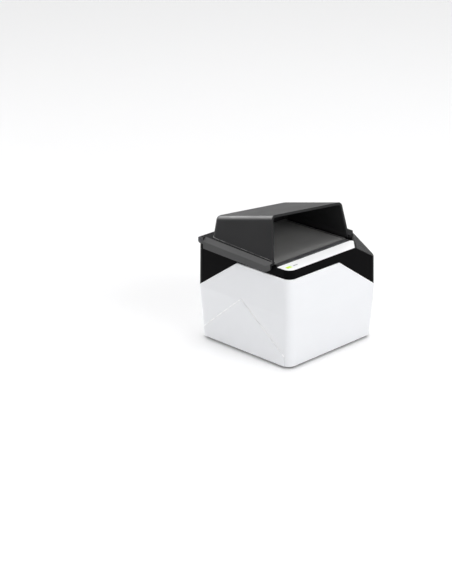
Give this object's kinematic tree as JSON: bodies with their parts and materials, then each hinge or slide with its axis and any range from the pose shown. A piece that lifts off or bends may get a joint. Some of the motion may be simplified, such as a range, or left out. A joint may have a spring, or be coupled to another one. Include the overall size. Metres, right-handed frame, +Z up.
{
  "type": "travel document scanner",
  "caption": "Compact desk reader for identity cards and passport pages: glass window on a tall cube case, under a hinged light hood open at the front.",
  "frame": {"origin": "centre of the foot mat's underside, on the surface the scanner stands on", "axes": "+Z up, -Y towards the user's side with the label strip and the hood's mouth, +X to the right"},
  "size_m": [0.1076, 0.1053, 0.1224],
  "materials": {
    "white_plastic": "satin white moulded plastic",
    "black_gloss_plastic": "glossy black moulded plastic",
    "dark_plastic": "dark matte plastic",
    "rubber": "soft black rubber",
    "steel": "plated steel",
    "pin_steel": "blackened steel",
    "window_glass": "clear flat glass",
    "seal_rubber": "closed cell foam",
    "grey_plastic": "mid grey plastic",
    "label_white": "bare white label",
    "green_light": "lime green light pipe",
    "grey_light": "unlit grey light pipe",
    "circuit_board": "green solder mask",
    "brass": "turned brass",
    "chamber_black": "dull black plastic",
    "lamp_white": "lamp resin",
    "diffuser_white": "frosted white plastic",
    "lead_plastic": "amber film",
    "chip_black": "moulded chip resin",
    "sensor_glass": "dark sensor glass",
    "lens_metal": "black anodised aluminium",
    "lens_glass": "coated optical glass",
    "hood_black": "satin black moulded plastic",
    "frame_black": "fine grained black plastic"
  },
  "bodies": {
    "case": {"lower_shell": "white_plastic", "upper_shell": "black_gloss_plastic", "base_plate": "dark_plastic", "foot_mat": "rubber", "base_screws": "steel", "case_screws": "steel", "window_glass": "window_glass", "window_gasket": "seal_rubber", "window_frame": "grey_plastic", "label_strip": "label_white", "rib_strip": "dark_plastic", "ready_light_pipe": "green_light", "busy_light_pipe": "grey_light", "status_board": "circuit_board", "hinge_bracket_left": "steel", "hinge_bracket_right": "steel", "hinge_bush_left": "brass", "hinge_bush_right": "brass", "hinge_screws": "steel", "light_chamber": "chamber_black", "lamp_board_left": "circuit_board", "lamp_board_right": "circuit_board", "lamp_leds_left": "lamp_white", "lamp_leds_right": "lamp_white", "lamp_diffuser_left": "diffuser_white", "lamp_diffuser_right": "diffuser_white", "lamp_leads": "lead_plastic", "main_board": "circuit_board", "board_standoffs": "brass", "board_screws": "steel", "board_chips": "chip_black", "sensor_standoffs": "brass", "sensor_board": "circuit_board", "image_sensor": "sensor_glass", "lens_holder": "dark_plastic", "lens_barrel": "lens_metal", "lens_glass": "lens_glass", "camera_ribbon": "lead_plastic", "usb_socket": "steel"},
    "hood": {"hood_cover": "hood_black", "hood_frame": "frame_black", "hood_pads": "seal_rubber", "light_seal": "seal_rubber", "hinge_pin_left": "pin_steel", "hinge_pin_right": "pin_steel"}
  },
  "joints": [
    {"name": "hood_hinge", "type": "hinge", "parent": "case", "child": "hood", "pos_m": [-0.00435, 0.0435, 0.0878], "axis": [-1, 0, 0], "range_deg": [0, 80]}
  ]
}
